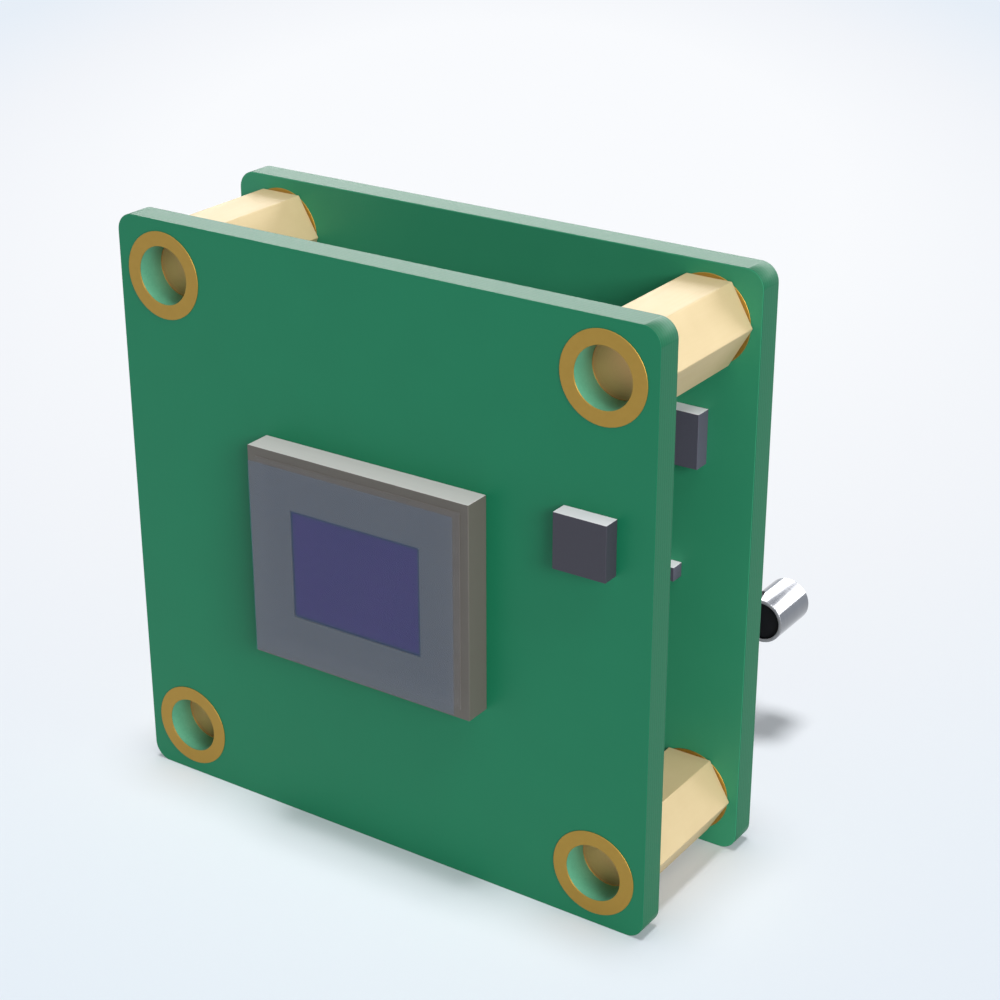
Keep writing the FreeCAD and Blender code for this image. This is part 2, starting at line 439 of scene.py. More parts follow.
def routedEdge():
    # milled laminate edge: deeper than the mask, with the cloth's layers as fine lines round it
    material, tree, shader, place = newMaterial("routed laminate edge", {
        "IOR": 1.5,
        "Specular IOR Level": 0.2,
    })
    plies = addNode(tree, "TexWave", {
        "bands_direction": "Y",
        "Scale": bandScale(board["plyMm"]),
        "Distortion": 1.5,
        "Detail": 2.0,
    }, {"Vector": place})
    tufts = addNode(tree, "TexNoise", {"Scale": patternScale(board["tuftMm"]), "Detail": 3.0},
                    {"Vector": place})
    blend = addNode(tree, "Math", {"operation": "MULTIPLY"},
                    {0: plies.outputs["Fac"], 1: tufts.outputs["Fac"]})
    tint = addNode(tree, "Mix", twoTones(*board["edge"]), {0: blend.outputs["Value"]})
    ridges = addNode(tree, "Bump", {"Strength": 0.35, "Distance": 0.008 * mm},
                     {"Height": blend.outputs["Value"]})
    rough = addNode(tree, "MapRange", {"To Min": 0.38, "To Max": 0.55},
                    {"Value": tufts.outputs["Fac"]})
    connect(tree, shader, tint.outputs[2], rough.outputs["Result"], ridges.outputs["Normal"])
    return material


def drilledWall():
    # drilled laminate: pale green, with rings left by the drill and torn fibre ends
    material, tree, shader, place = newMaterial("drilled laminate wall", {
        "IOR": 1.5,
        "Specular IOR Level": 0.4,
    })
    rings = addNode(tree, "TexWave", {
        "bands_direction": "Y",
        "Scale": bandScale(board["drillMm"]),
        "Distortion": 0.8,
        "Detail": 2.0,
    }, {"Vector": place})
    tufts = addNode(tree, "TexNoise", {"Scale": patternScale(board["tornMm"]), "Detail": 3.0},
                    {"Vector": place})
    tint = addNode(tree, "Mix", twoTones(*board["wall"]), {0: tufts.outputs["Fac"]})
    ridges = addNode(tree, "Bump", {"Strength": 0.3, "Distance": 0.006 * mm},
                     {"Height": rings.outputs["Fac"]})
    rough = addNode(tree, "MapRange", {"To Min": 0.3, "To Max": 0.5},
                    {"Value": tufts.outputs["Fac"]})
    connect(tree, shader, tint.outputs[2], rough.outputs["Result"], ridges.outputs["Normal"])
    return material


def isHoleWall(face):
    offset = board["holeOffsetMm"] * mm
    x = abs(face.center.x) - offset
    z = abs(face.center.z - board["middleMm"] * mm) - offset
    return math.hypot(x, z) < (board["holeRadiusMm"] + board["holeSlackMm"]) * mm


def finishBoards():
    mask = maskedLaminate("solder-masked glass epoxy", board["mask"])
    # painted light: the lacquer on the faces towards the gap is lighter, to lift the shade between
    # the boards
    gapLitMask = maskedLaminate("solder-masked glass epoxy, gap side", board["gapLitMask"])
    edge, wall = routedEdge(), drilledWall()
    for name, gapSide in (("sensor_board", 1), ("interface_board", -1)):
        piece = softCopy(name, "green_laminate", board["edgeBreakMm"])
        dress(piece, mask, edge, wall, gapLitMask)     # slots 0 to 3
        for face in piece.data.polygons:
            if abs(face.normal.y) > board["broad"]:
                face.material_index = 3 if face.normal.y * gapSide > 0 else 0
            else:
                face.material_index = 2 if isHoleWall(face) else 1


finishBoards()
print("boards finished")


# Gold lands round the screw holes

land = {"gold": ("#A7843E", "#B18E46"), "grainMm": 0.25, "edgeBreakMm": 0.015}


def goldPlate():
    # gold over nickel over copper: soft metal yellow, grained like the copper below
    material, tree, shader, place = newMaterial("immersion gold plate", {"Metallic": 1.0})
    grain = addNode(tree, "TexNoise", {"Scale": patternScale(land["grainMm"]), "Detail": 4.0},
                    {"Vector": place})
    tint = addNode(tree, "Mix", twoTones(*land["gold"]), {0: grain.outputs["Fac"]})
    pits = addNode(tree, "Bump", {"Strength": 0.2, "Distance": 0.004 * mm},
                   {"Height": grain.outputs["Fac"]})
    rough = addNode(tree, "MapRange", {"To Min": 0.42, "To Max": 0.56},
                    {"Value": grain.outputs["Fac"]})
    connect(tree, shader, tint.outputs[2], rough.outputs["Result"], pits.outputs["Normal"])
    return material


def finishLands():
    gold = goldPlate()
    for name in namesWith("_land_"):
        dress(softCopy(name, "gold_plate", land["edgeBreakMm"], steps=1), gold)


finishLands()
print("lands finished")


# Hexagonal spacers with their threads

spacer = {
    "brass": ("#B9A47A", "#C3AF85"),
    "faced": ("#D2A066", "#DBAA70"),
    "streakMm": 0.12,        # between drawing lines
    "cloudMm": 1.8,
    "ringMm": 0.1,           # between the lathe's rings
    "edgeBreakMm": 0.05,
    "count": 4,
    "boreRadiusMm": 1.25,
    "threadPitchMm": 0.5,
    "threadDepthMm": 0.16,
    "threadTurns": 11,
    "threadInsetMm": 0.25,   # from the bore's open end to the thread
    "turnSteps": 20,         # in one turn of any thread here
}


def platedBrass():
    # drawn hexagon bar, plated dull, so that it scatters more than it mirrors: pale cream
    # yellow, a little cloudy, with faint drawing lines along it
    material, tree, shader, place = newMaterial("dull plated brass", {"Metallic": 0.2})
    drawn = addNode(tree, "Mapping", {"Scale": (1.0, 0.04, 1.0)}, {"Vector": place})
    lines = addNode(tree, "TexNoise", {"Scale": patternScale(spacer["streakMm"]), "Detail": 3.0},
                    {"Vector": drawn.outputs["Vector"]})
    cloud = addNode(tree, "TexNoise", {"Scale": patternScale(spacer["cloudMm"]), "Detail": 3.0},
                    {"Vector": place})
    tint = addNode(tree, "Mix", twoTones(*spacer["brass"]), {0: cloud.outputs["Fac"]})
    scratches = addNode(tree, "Bump", {"Strength": 0.18, "Distance": 0.004 * mm},
                        {"Height": lines.outputs["Fac"]})
    rough = addNode(tree, "MapRange", {"To Min": 0.46, "To Max": 0.62},
                    {"Value": lines.outputs["Fac"]})
    connect(tree, shader, tint.outputs[2], rough.outputs["Result"], scratches.outputs["Normal"])
    return material


def facedBrass():
    # the spacer's turned end: browner than its flats, with the lathe's rings round each axis
    material, tree, shader, place = newMaterial("faced brass end", {"Metallic": 0.5})
    centred = addNode(tree, "Mapping", {"Location": (0, 0, -board["middleMm"] * mm)},
                      {"Vector": place})
    folded = addNode(tree, "VectorMath", {"operation": "ABSOLUTE"},
                     {0: centred.outputs["Vector"]})
    offset = board["holeOffsetMm"] * mm
    fromAxis = addNode(tree, "Mapping", {"Location": (-offset, 0, -offset)},
                       {"Vector": folded.outputs["Vector"]})
    flat = addNode(tree, "Mapping", {"Scale": (1, 0, 1)}, {"Vector": fromAxis.outputs["Vector"]})
    radius = addNode(tree, "VectorMath", {"operation": "LENGTH"}, {0: flat.outputs["Vector"]})
    rings = addNode(tree, "TexNoise", {
        "noise_dimensions": "1D",
        "Scale": patternScale(spacer["ringMm"]),
        "Detail": 2.0,
    }, {"W": radius.outputs["Value"]})
    tint = addNode(tree, "Mix", twoTones(*spacer["faced"]), {0: rings.outputs["Fac"]})
    grooves = addNode(tree, "Bump", {"Strength": 0.2, "Distance": 0.004 * mm},
                      {"Height": rings.outputs["Fac"]})
    rough = addNode(tree, "MapRange", {"To Min": 0.42, "To Max": 0.55},
                    {"Value": rings.outputs["Fac"]})
    connect(tree, shader, tint.outputs[2], rough.outputs["Result"], grooves.outputs["Normal"])
    return material


def threadRidge(name, look):
    # a three-sided ridge wound up the wall of a bore, made along Z and then laid along Y
    quarter = math.radians(90)
    bpy.ops.object.select_all(action="DESELECT")
    bpy.ops.mesh.primitive_circle_add(vertices=3, radius=look["threadDepthMm"] * mm,
                                      location=(0, 0, 0))
    ridge = bpy.context.object
    ridge.name = name
    bpy.ops.object.mode_set(mode="EDIT")
    bpy.ops.mesh.select_all(action="SELECT")
    for axis in ("Z", "X"):
        bpy.ops.transform.rotate(value=quarter, orient_axis=axis, center_override=(0, 0, 0))
    bpy.ops.transform.translate(value=(look["boreRadiusMm"] * mm, 0, 0))
    bpy.ops.object.mode_set(mode="OBJECT")
    winding = ridge.modifiers.new("winding", "SCREW")
    winding.axis = "Z"
    winding.screw_offset = look["threadPitchMm"] * mm
    winding.iterations = look["threadTurns"]
    winding.steps = winding.render_steps = spacer["turnSteps"]
    winding.use_normal_calculate = True
    winding.use_merge_vertices = False
    applyModifiers(ridge)
    # both open ends get a face
    bpy.ops.object.mode_set(mode="EDIT")
    bpy.ops.mesh.select_mode(type="EDGE")
    bpy.ops.mesh.select_all(action="SELECT")
    bpy.ops.mesh.remove_doubles(threshold=shaping["mergeMm"] * mm)
    bpy.ops.mesh.select_all(action="DESELECT")
    bpy.ops.mesh.select_non_manifold()
    bpy.ops.mesh.edge_face_add()
    bpy.ops.mesh.select_all(action="SELECT")
    bpy.ops.mesh.normals_make_consistent(inside=False)
    bpy.ops.object.mode_set(mode="OBJECT")
    bpy.ops.object.shade_smooth_by_angle(angle=math.radians(shaping["chamferAngle"]))
    ridge.rotation_euler = (-quarter, 0, 0)
    applyPlace(ridge)
    return ridge


def threadPlace(boredBox, look):
    # where the ridge starts: on the axis of the bored piece, so far in that it ends inside
    low, high = boredBox
    length = look["threadTurns"] * look["threadPitchMm"] * mm
    start = high.y - length - look["threadInsetMm"] * mm
    return ((low.x + high.x) / 2, start, (low.z + high.z) / 2)


def finishSpacers():
    brass, faced = platedBrass(), facedBrass()
    for name in namesWith("hex_spacer"):
        piece = softCopy(name, "spacer_brass", spacer["edgeBreakMm"])
        markFaces(dress(piece, brass, faced), looksAlongY)
    thread = dress(threadRidge("spacer_thread_1", spacer), brass)
    places = []
    for number in range(1, spacer["count"] + 1):
        places.append(threadPlace(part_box("hex_spacer_" + str(number)), spacer))
    for number, place in enumerate(places[1:], 2):
        settle(movedCopy(thread, "spacer_thread_" + str(number), place), "spacer_brass")
    thread.location = places[0]
    settle(thread, "spacer_brass")


finishSpacers()
print("spacers finished")


# Image sensor

sensor = {
    "alumina": ("#5A554E", "#605B54"),
    # painted light: the frame's upper and under faces are pale, standing in for light from above
    "aluminaLitSides": ("#B9B6B4", "#C2BFBD"),
    "under": ("#605A55", "#66605B"),    # read as the frame's tone through the lid: painted light against its shade
    "wiring": "#544F49",
    "pixels": ("#44225F", "#482566"),
    "arraySheen": "#E6E2F5",
    "pixelBorder": ("#1E1638", "#2B2547"),
    "haze": ("#406A90", "#446E94"),
    "hazeAmount": 0.22,
    "frost": ("#8B949B", "#A3ABB1"),
    "frostAmount": 0.02,
    "grainMm": 0.18,
    "sideLineMm": 0.15,
    "wiringMm": 1.2,
    "resinFlowMm": 0.8,
    "pixelMm": 0.16,         # drawn coarser than the real ones
    "sheenMm": 4.0,
    "borderFlowMm": 0.3,
    "filmMm": 5.0,
    "frostMm": 0.1,
    "edgeBreakMm": 0.04,
    "dieBreakMm": 0.02,
    "borderMm": 0.13,        # the array's masked rows
    "cornerMm": 0.18,
    "cornerSteps": 4,
    "middleMm": 1.0,         # the faces this near the array's middle are its pixels
    "sealMm": 0.02,          # the resin stands this far out of the rim, under the lid
    "lidGapMm": 0.01,
    "lidFront": 0.5,         # a face with more of -Y than this in its normal is its front
    "resinEdgeMm": 0.02,
    "resinInsetMm": 2.0,     # the window's first opening, then drawn in to the pixels
    "resinBackMm": 0.005,
    "resinBreakMm": 0.01,
}


def firedAlumina():
    # pressed and fired alumina, dark grade: dull warm grey with a fine sandy grain
    material, tree, shader, place = newMaterial("fired alumina", {
        "IOR": 1.76,
        "Specular IOR Level": 0.22,
    })
    grain = addNode(tree, "TexNoise", {
        "Scale": patternScale(sensor["grainMm"]),
        "Detail": 6.0,
        "Roughness": 0.7,
    }, {"Vector": place})
    tint = addNode(tree, "Mix", twoTones(*sensor["alumina"]), {0: grain.outputs["Fac"]})
    sand = addNode(tree, "Bump", {"Strength": 0.3, "Distance": 0.006 * mm},
                   {"Height": grain.outputs["Fac"]})
    rough = addNode(tree, "MapRange", {"To Min": 0.42, "To Max": 0.58},
                    {"Value": grain.outputs["Fac"]})
    connect(tree, shader, tint.outputs[2], rough.outputs["Result"], sand.outputs["Normal"])
    return material


def paleLitSide(name, tones, grainMm):
    # pale, with fine lines along it: on upper and under faces, as painted light from above
    material, tree, shader, place = newMaterial(name, {"IOR": 1.55, "Specular IOR Level": 0.3})
    drawn = addNode(tree, "Mapping", {"Scale": (0.08, 1.0, 0.08)}, {"Vector": place})
    lines = addNode(tree, "TexNoise", {"Scale": patternScale(grainMm), "Detail": 4.0},
                    {"Vector": drawn.outputs["Vector"]})
    tint = addNode(tree, "Mix", twoTones(*tones), {0: lines.outputs["Fac"]})
    lineRelief = addNode(tree, "Bump", {"Strength": 0.25, "Distance": 0.005 * mm},
                   {"Height": lines.outputs["Fac"]})
    rough = addNode(tree, "MapRange", {"To Min": 0.55, "To Max": 0.7},
                    {"Value": lines.outputs["Fac"]})
    connect(tree, shader, tint.outputs[2], rough.outputs["Result"], lineRelief.outputs["Normal"])
    return material


def passivatedSilicon():
    # passivated silicon: smooth, with faint blocks of wiring under the coat
    material, tree, shader, place = newMaterial("passivated silicon", {
        "IOR": 1.5,
        "Roughness": 0.35,
        "Specular IOR Level": 0.3,
    })
    turned = addNode(tree, "Mapping", {"Rotation": (math.radians(90), 0, 0)}, {"Vector": place})
    # the die's tones are lighter than the frame's: painted light against the lid's shade
    deep, pale = sensor["under"]
    blocks = addNode(tree, "TexBrick", {
        "Scale": patternScale(sensor["wiringMm"]),
        "Color1": toLinear(deep),
        "Color2": toLinear(pale),
        "Mortar": toLinear(sensor["wiring"]),
        "Mortar Size": 0.02,
    }, {"Vector": turned.outputs["Vector"]})
    connect(tree, shader, blocks.outputs["Color"])
    return material


def castResin():
    # resin poured over the die's rim and its wires: level and smooth, the frame's warm grey
    material, tree, shader, place = newMaterial("cast epoxy resin", {
        "IOR": 1.53,
        "Specular IOR Level": 0.3,
    })
    flow = addNode(tree, "TexNoise", {
        "Scale": patternScale(sensor["resinFlowMm"]),
        "Detail": 2.0,
    }, {"Vector": place})
    # painted light: a tone lighter than the frame's, against the lid's shade
    tint = addNode(tree, "Mix", twoTones(*sensor["under"]), {0: flow.outputs["Fac"]})
    swell = addNode(tree, "Bump", {"Strength": 0.2, "Distance": 0.02 * mm},
                    {"Height": flow.outputs["Fac"]})
    rough = addNode(tree, "MapRange", {"To Min": 0.28, "To Max": 0.4},
                    {"Value": flow.outputs["Fac"]})
    connect(tree, shader, tint.outputs[2], rough.outputs["Result"], swell.outputs["Normal"])
    return material


def colourFilters():
    # colour filters and lenses over the pixels: deep violet with a fine chequer
    material, tree, shader, place = newMaterial("colour filter array", {
        "IOR": 1.56,
        "Roughness": 0.32,
        "Specular IOR Level": 0.12,
    })
    deep, pale = sensor["pixels"]
    mosaic = addNode(tree, "TexChecker", {
        "Scale": patternScale(sensor["pixelMm"]),
        "Color1": toLinear(deep),
        "Color2": toLinear(pale),
    }, {"Vector": place})
    sheen = addNode(tree, "TexNoise", {"Scale": patternScale(sensor["sheenMm"]), "Detail": 1.0},
                    {"Vector": place})
    tint = addNode(tree, "Mix", {
        "data_type": "RGBA",
        "blend_type": "MULTIPLY",
        7: toLinear(sensor["arraySheen"]),
    }, {0: sheen.outputs["Fac"], 6: mosaic.outputs["Color"]})
    connect(tree, shader, tint.outputs[2])
    return material


def darkPixels():
    # the masked rows round the array: near black with a violet cast
    material, tree, shader, place = newMaterial("masked border pixels", {
        "IOR": 1.56,
        "Specular IOR Level": 0.3,
    })
    flow = addNode(tree, "TexNoise", {
        "Scale": patternScale(sensor["borderFlowMm"]),
        "Detail": 2.0,
    }, {"Vector": place})
    tint = addNode(tree, "Mix", twoTones(*sensor["pixelBorder"]), {0: flow.outputs["Fac"]})
    rough = addNode(tree, "MapRange", {"To Min": 0.3, "To Max": 0.4},
                    {"Value": flow.outputs["Fac"]})
    connect(tree, shader, tint.outputs[2], rough.outputs["Result"])
    return material


def coatedLid():
    # optical glass with a filter coat: a faint blue haze over what is below, drawn without
    # its bend
    material, tree, shader, place = newMaterial("coated optical glass", {
        "IOR": 1.52,
        "Alpha": sensor["hazeAmount"],
        "Coat Weight": 0.3,
        "Coat Roughness": 0.03,
    })
    film = addNode(tree, "TexNoise", {"Scale": patternScale(sensor["filmMm"]), "Detail": 2.0},
                   {"Vector": place})
    tint = addNode(tree, "Mix", twoTones(*sensor["haze"]), {0: film.outputs["Fac"]})
    smudge = addNode(tree, "MapRange", {"To Min": 0.04, "To Max": 0.09},
                     {"Value": film.outputs["Fac"]})
    connect(tree, shader, tint.outputs[2], smudge.outputs["Result"])
    return material


def dicedGlass():
    # sawn sides of the lid: clear enough to show the frame behind, with a fine frost
    material, tree, shader, place = newMaterial("sawn glass side", {
        "IOR": 1.52,
        "Alpha": sensor["frostAmount"],
    })
    frost = addNode(tree, "TexNoise", {"Scale": patternScale(sensor["frostMm"]), "Detail": 3.0},
                    {"Vector": place})
    tint = addNode(tree, "Mix", twoTones(*sensor["frost"]), {0: frost.outputs["Fac"]})
    rough = addNode(tree, "MapRange", {"To Min": 0.3, "To Max": 0.5},
                    {"Value": frost.outputs["Fac"]})
    connect(tree, shader, tint.outputs[2], rough.outputs["Result"])
    return material


def resinMask():
    # a thin window of resin: seals the lid to the rim, covers the die's wires and stops at
    # the pixels
    lidLow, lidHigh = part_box("cover_glass")
    pixelLow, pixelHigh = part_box("pixel_array")
    frontY = lidHigh.y - sensor["sealMm"] * mm
    backY = pixelHigh.y - sensor["resinBackMm"] * mm
    edge = sensor["resinEdgeMm"] * mm
    window = blockBetween("sensor_resin_mask", (lidLow.x + edge, frontY, lidLow.z + edge),
                          (lidHigh.x - edge, backY, lidHigh.z - edge))
    lidMiddle, pixelMiddle = (lidLow + lidHigh) / 2, (pixelLow + pixelHigh) / 2
    inset = sensor["resinInsetMm"] * mm
    half = (lidHigh - lidLow) / 2 - Vector((edge + inset, 0, edge + inset))
    opening = (pixelHigh - pixelLow) / 2 + Vector((edge, 0, edge))
    bpy.ops.object.mode_set(mode="EDIT")
    pickFaces(window, looksAlongY)
    bpy.ops.mesh.inset(thickness=inset, use_individual=True)
    bpy.ops.transform.resize(value=(opening.x / half.x, 1, opening.z / half.z),
                             center_override=lidMiddle)
    bpy.ops.transform.translate(value=(pixelMiddle.x - lidMiddle.x, 0,
                                       pixelMiddle.z - lidMiddle.z))
    bpy.ops.mesh.bridge_edge_loops()
    bpy.ops.mesh.select_all(action="SELECT")
    bpy.ops.mesh.normals_make_consistent(inside=False)
    bpy.ops.object.mode_set(mode="OBJECT")
    softEdges(window, sensor["resinBreakMm"], steps=1)
    dress(window, castResin())
    settle(window, "epoxy")


def pixelSheet():
    # its four corners are rounded, and its front gets the masked border
    low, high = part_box("pixel_array")
    sheet = blockBetween("pixel_array_finished", low, high)
    bpy.ops.object.mode_set(mode="EDIT")
    bpy.ops.mesh.select_mode(type="EDGE")
    bpy.ops.mesh.select_all(action="DESELECT")
    bpy.ops.object.mode_set(mode="OBJECT")
    for edge in sheet.data.edges:
        start, end = (sheet.data.vertices[index].co for index in edge.vertices)
        edge.select = abs(start.x - end.x) + abs(start.z - end.z) < shaping["mergeMm"] * mm
    bpy.ops.object.mode_set(mode="EDIT")
    bpy.ops.mesh.bevel(offset=sensor["cornerMm"] * mm, segments=sensor["cornerSteps"],
                       affect="EDGES")
    pickFaces(sheet, lambda face: face.normal.y < -shaping["facing"])
    bpy.ops.mesh.inset(thickness=sensor["borderMm"] * mm)
    bpy.ops.object.mode_set(mode="OBJECT")
    middle, reach = (low + high) / 2, sensor["middleMm"] * mm
    markFaces(dress(sheet, colourFilters(), darkPixels()), lambda face: not (
        (face.center - middle).length < reach and face.normal.y < -shaping["facing"]))
    settle(sheet, "pixels", "pixel_array")


def lidPane():
    low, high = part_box("cover_glass")
    backY = high.y - (sensor["sealMm"] + sensor["lidGapMm"]) * mm
    pane = blockBetween("cover_glass_finished", low, (high.x, backY, high.z))
    softEdges(pane, sensor["edgeBreakMm"])
    dress(pane, coatedLid(), dicedGlass())
    markFaces(pane, lambda face: face.normal.y >= -sensor["lidFront"])
    settle(pane, "lid_glass", "cover_glass")


def finishSensor():
    body = softCopy("sensor_package", "ceramic", sensor["edgeBreakMm"])
    # painted light: the frame's upper and under faces take the pale tone
    aluminaLitSides = paleLitSide("alumina, pale on top and under for painted light", sensor["aluminaLitSides"], sensor["sideLineMm"])
    markFaces(dress(body, firedAlumina(), aluminaLitSides), looksAlongZ)
    dress(softCopy("sensor_die", "silicon", sensor["dieBreakMm"], steps=1), passivatedSilicon())
    resinMask()
    pixelSheet()
    lidPane()


finishSensor()
print("sensor finished")


# Chips

chip = {
    "compound": ("#35333C", "#3D3B44"),
    # painted light: the pale tone on the chips' upper and under faces stands in for light from
    # above
    "sawn": ("#D0CED2", "#DAD8DC"),
    # on the rear board, greyer, because the photo is drawn without shade in the gap
    "gapLitCompound": ("#4D4B56", "#555361"),
    "gapLitPaleSides": ("#E2DFE4", "#E9E6EB"),
    "grainMm": 0.1,
    "edgeBreakMm": 0.03,
}


def mouldingCompound(name, tones):
    # epoxy moulding compound: dark grey with a violet cast, satin from the fine texture of
    # the mould
    material, tree, shader, place = newMaterial(name, {"IOR": 1.55, "Specular IOR Level": 0.28})
    grain = addNode(tree, "TexNoise", {
        "Scale": patternScale(chip["grainMm"]),
        "Detail": 4.0,
        "Roughness": 0.6,
    }, {"Vector": place})
    tint = addNode(tree, "Mix", twoTones(*tones), {0: grain.outputs["Fac"]})
    texture = addNode(tree, "Bump", {"Strength": 0.3, "Distance": 0.005 * mm},
                      {"Height": grain.outputs["Fac"]})
    rough = addNode(tree, "MapRange", {"To Min": 0.38, "To Max": 0.52},
                    {"Value": grain.outputs["Fac"]})
    connect(tree, shader, tint.outputs[2], rough.outputs["Result"], texture.outputs["Normal"])
    return material


def finishChips():
    # painted light: the second finish makes the chips' upper and under faces pale
    front = (mouldingCompound("epoxy moulding compound", chip["compound"]),
             paleLitSide("moulding compound, pale on top and under for painted light", chip["sawn"], chip["grainMm"]))
    # painted light: the chips between the boards get lighter copies of both finishes, to lift the
    # shade in the gap
    rear = (mouldingCompound("moulding compound, lighter in the gap for painted light", chip["gapLitCompound"]),
            paleLitSide("sawn grey compound", chip["gapLitPaleSides"], chip["grainMm"]))
    for name, finish in (("sensor_board_chip", front), ("interface_board_chip", rear),
                         ("interface_board_small_chip", rear)):
        piece = softCopy(name, "epoxy", chip["edgeBreakMm"])
        markFaces(dress(piece, *finish), looksAlongZ)


finishChips()
print("chips finished")


# Contacts and their solder

contact = {
    "gold": ("#D2AC5C", "#DDBB72"),
    "wipeMm": 0.08,
    "edgeBreakMm": 0.04,
}
solder = {
    "tin": ("#9FA2A5", "#B9BBBD"),
    "dimpleMm": 0.2,
    # reach is from the row's middle line to the middle of a mound
    "rear": {"columns": 8, "pitchMm": 2.0, "rowZMm": 7.8, "reachMm": 4.18,
             "halfWidthMm": 0.48, "halfLengthMm": 0.74, "heightMm": 0.22},
    "link": {"columns": 10, "pitchMm": 1.27, "rowZMm": 16.5, "reachMm": 2.86,
             "halfWidthMm": 0.36, "halfLengthMm": 0.62, "heightMm": 0.17},
    "crown": (0.72, 1, 0.7),     # how far the top is drawn in
    "crownInsetMm": 0.08,
    "edgeBreakMm": 0.07,
    "breakAngle": 20,
}


def contactGold():
    # stamped bronze, gold over nickel: bright warm metal with wiping marks along the posts
    material, tree, shader, place = newMaterial("gold-plated phosphor bronze", {"Metallic": 1.0})
    along = addNode(tree, "Mapping", {"Scale": (1.0, 0.06, 1.0)}, {"Vector": place})
    marks = addNode(tree, "TexNoise", {"Scale": patternScale(contact["wipeMm"]), "Detail": 3.0},
                    {"Vector": along.outputs["Vector"]})
    tint = addNode(tree, "Mix", twoTones(*contact["gold"]), {0: marks.outputs["Fac"]})
    lines = addNode(tree, "Bump", {"Strength": 0.15, "Distance": 0.003 * mm},
                    {"Height": marks.outputs["Fac"]})
    rough = addNode(tree, "MapRange", {"To Min": 0.2, "To Max": 0.36},
                    {"Value": marks.outputs["Fac"]})
    connect(tree, shader, tint.outputs[2], rough.outputs["Result"], lines.outputs["Normal"])
    return material


def reflowedTin():
    # reflowed tin solder: silver grey and dimpled, with soft glints on its rounds
    material, tree, shader, place = newMaterial("reflowed tin solder", {"Metallic": 1.0})
    dimples = addNode(tree, "TexNoise", {
        "Scale": patternScale(solder["dimpleMm"]),
        "Detail": 3.0,
    }, {"Vector": place})
    tint = addNode(tree, "Mix", twoTones(*solder["tin"]), {0: dimples.outputs["Fac"]})
    dents = addNode(tree, "Bump", {"Strength": 0.35, "Distance": 0.01 * mm},
                    {"Height": dimples.outputs["Fac"]})
    rough = addNode(tree, "MapRange", {"To Min": 0.28, "To Max": 0.45},
                    {"Value": dimples.outputs["Fac"]})
    connect(tree, shader, tint.outputs[2], rough.outputs["Result"], dents.outputs["Normal"])
    return material


def solderMound(name, foot, boardY, outward):
    # a low mound with a drawn-in top, standing off the board's face towards outward
    halfWidth, halfLength = foot["halfWidthMm"] * mm, foot["halfLengthMm"] * mm
    top = boardY + outward * (foot["heightMm"] * mm)
    low, high = sorted((boardY, top))
    mound = blockBetween(name, (-halfWidth, low, -halfLength), (halfWidth, high, halfLength))
    bpy.ops.object.mode_set(mode="EDIT")
    pickFaces(mound, lambda face: face.normal.y * outward > shaping["facing"])
    bpy.ops.transform.resize(value=solder["crown"], center_override=(0, top, 0))
    bpy.ops.mesh.inset(thickness=solder["crownInsetMm"] * mm)
    bpy.ops.object.mode_set(mode="OBJECT")
    return softEdges(mound, solder["edgeBreakMm"], limit=solder["breakAngle"])


def solderRow(name, foot, boardY, outward, side, tin):
    mound = solderMound(name + "_start", foot, boardY, outward)
    z = foot["rowZMm"] * mm + side * (foot["reachMm"] * mm)
    copies = []
    for column in range(foot["columns"]):
        x = (column - (foot["columns"] - 1) / 2) * foot["pitchMm"] * mm
        copies.append(movedCopy(mound, name + "_" + str(column + 1), (x, 0, z)))
    bpy.data.objects.remove(mound)
    settle(dress(joined(copies, name), tin), "contact_plate")


def finishContacts():
    gold, tin = contactGold(), reflowedTin()
    for name in namesWith("link_plug_contacts", "link_socket_contacts", "rear_contact"):
        dress(softCopy(name, "contact_plate", contact["edgeBreakMm"]), gold)
    rows = (("rear_solder_", solder["rear"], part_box("interface_board")[1].y, 1),
            ("plug_solder_", solder["link"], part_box("sensor_board")[1].y, 1),
            ("socket_solder_", solder["link"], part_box("interface_board")[0].y, -1))
    for label, side in (("upper", 1), ("lower", -1)):
        for start, foot, boardY, outward in rows:
            solderRow(start + label, foot, boardY, outward, side, tin)


finishContacts()
print("contacts finished")


# Link housings and the rear shroud

moulding = {
    "link": ("#26272B", "#2E2F34"),
    "nylon": ("#1F2023", "#2A2B2F"),
    "streakMm": 0.25,
    "pitMm": 0.14,
    "fleckMm": 0.45,
    "linkBreakMm": 0.08,
    "shroudBreakMm": 0.1,
}


def liquidCrystalPolymer():
    # moulded liquid crystal polymer: near black with flow streaks along the moulding
    material, tree, shader, place = newMaterial("liquid crystal polymer", {
        "IOR": 1.6,
        "Specular IOR Level": 0.35,
    })
    along = addNode(tree, "Mapping", {"Scale": (0.15, 1.0, 1.0)}, {"Vector": place})
    streaks = addNode(tree, "TexNoise", {
        "Scale": patternScale(moulding["streakMm"]),
        "Detail": 4.0,
    }, {"Vector": along.outputs["Vector"]})
    tint = addNode(tree, "Mix", twoTones(*moulding["link"]), {0: streaks.outputs["Fac"]})
    ripples = addNode(tree, "Bump", {"Strength": 0.25, "Distance": 0.006 * mm},
                      {"Height": streaks.outputs["Fac"]})
    rough = addNode(tree, "MapRange", {"To Min": 0.4, "To Max": 0.58},
                    {"Value": streaks.outputs["Fac"]})
    connect(tree, shader, tint.outputs[2], rough.outputs["Result"], ripples.outputs["Normal"])
    return material


